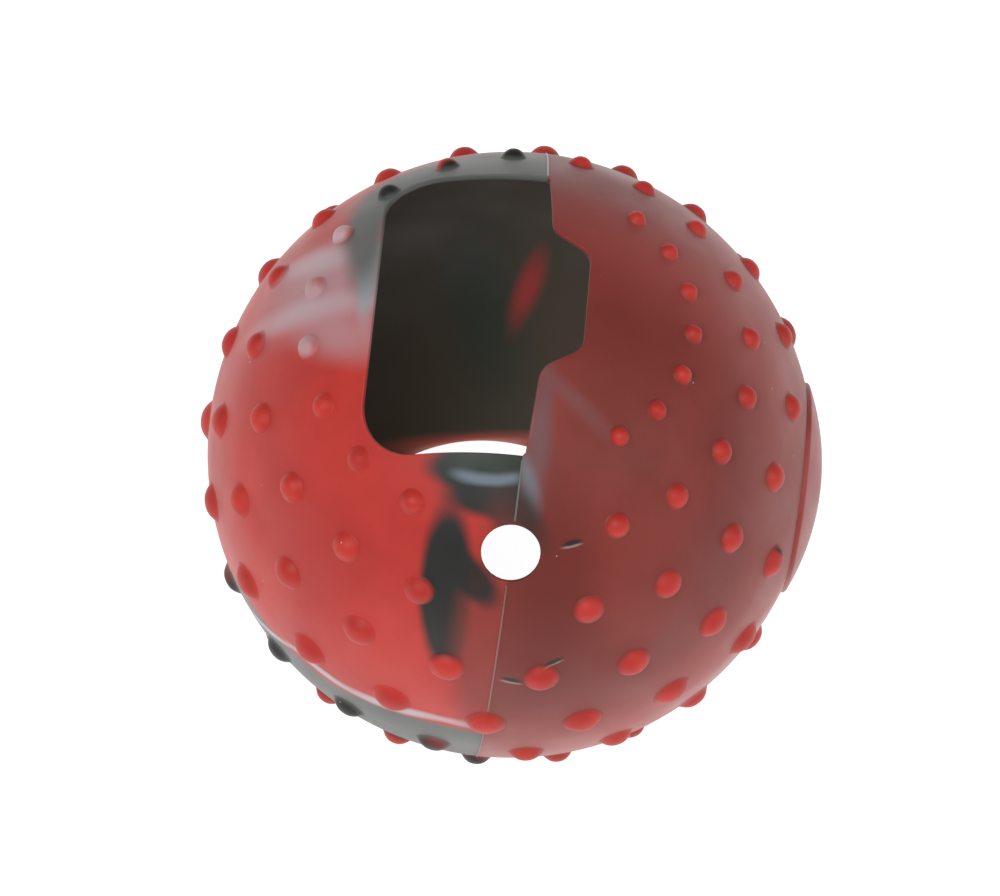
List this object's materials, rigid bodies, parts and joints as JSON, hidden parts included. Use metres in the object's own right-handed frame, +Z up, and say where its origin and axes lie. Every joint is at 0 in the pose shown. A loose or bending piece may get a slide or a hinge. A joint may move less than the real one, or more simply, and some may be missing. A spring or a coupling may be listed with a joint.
{
  "type": "silicone ball sleeve",
  "caption": "Hollow ball-shaped silicone grip sleeve with domed nubs, a notched window in the top, a port hole, a press pad on the side and an open base.",
  "frame": {"origin": "centre of the flat rim of the bottom opening, which the sleeve stands on", "axes": "+Z up through the window, +X through the press pad, -Y on the port hole's side"},
  "size_m": [0.0618, 0.0618, 0.0544],
  "materials": {
    "left_skin": "satin moulded silicone, bright red marbled with black, grey and lilac",
    "right_skin": "satin moulded silicone, brownish red with grey haze",
    "nubs": "satin moulded silicone, red with some black and grey ones",
    "pad": "satin moulded silicone, red marbled with white and black",
    "flash": "thin translucent silicone flash"
  },
  "bodies": {
    "sleeve": {"left_shell": "left_skin", "right_shell": "right_skin", "left_nubs_row_2": "nubs", "left_nubs_row_3": "nubs", "left_nubs_row_4": "nubs", "left_nubs_row_5": "nubs", "left_nubs_row_6": "nubs", "left_nubs_row_7": "nubs", "left_nubs_row_8": "nubs", "right_nubs_row_1": "nubs", "right_nubs_row_2": "nubs", "right_nubs_row_3": "nubs", "right_nubs_row_4": "nubs", "right_nubs_row_5": "nubs", "right_nubs_row_6": "nubs", "right_nubs_row_7": "nubs", "right_nubs_row_8": "nubs", "seam_nubs": "nubs", "parting_flash": "flash"},
    "press_pad": {"press_pad": "pad"}
  },
  "joints": [
    {"name": "pad_press", "type": "slide", "parent": "sleeve", "child": "press_pad", "axis": [-1, 0, 0], "range_m": [0, 0.0008], "stiffness_N_per_m": 500}
  ]
}
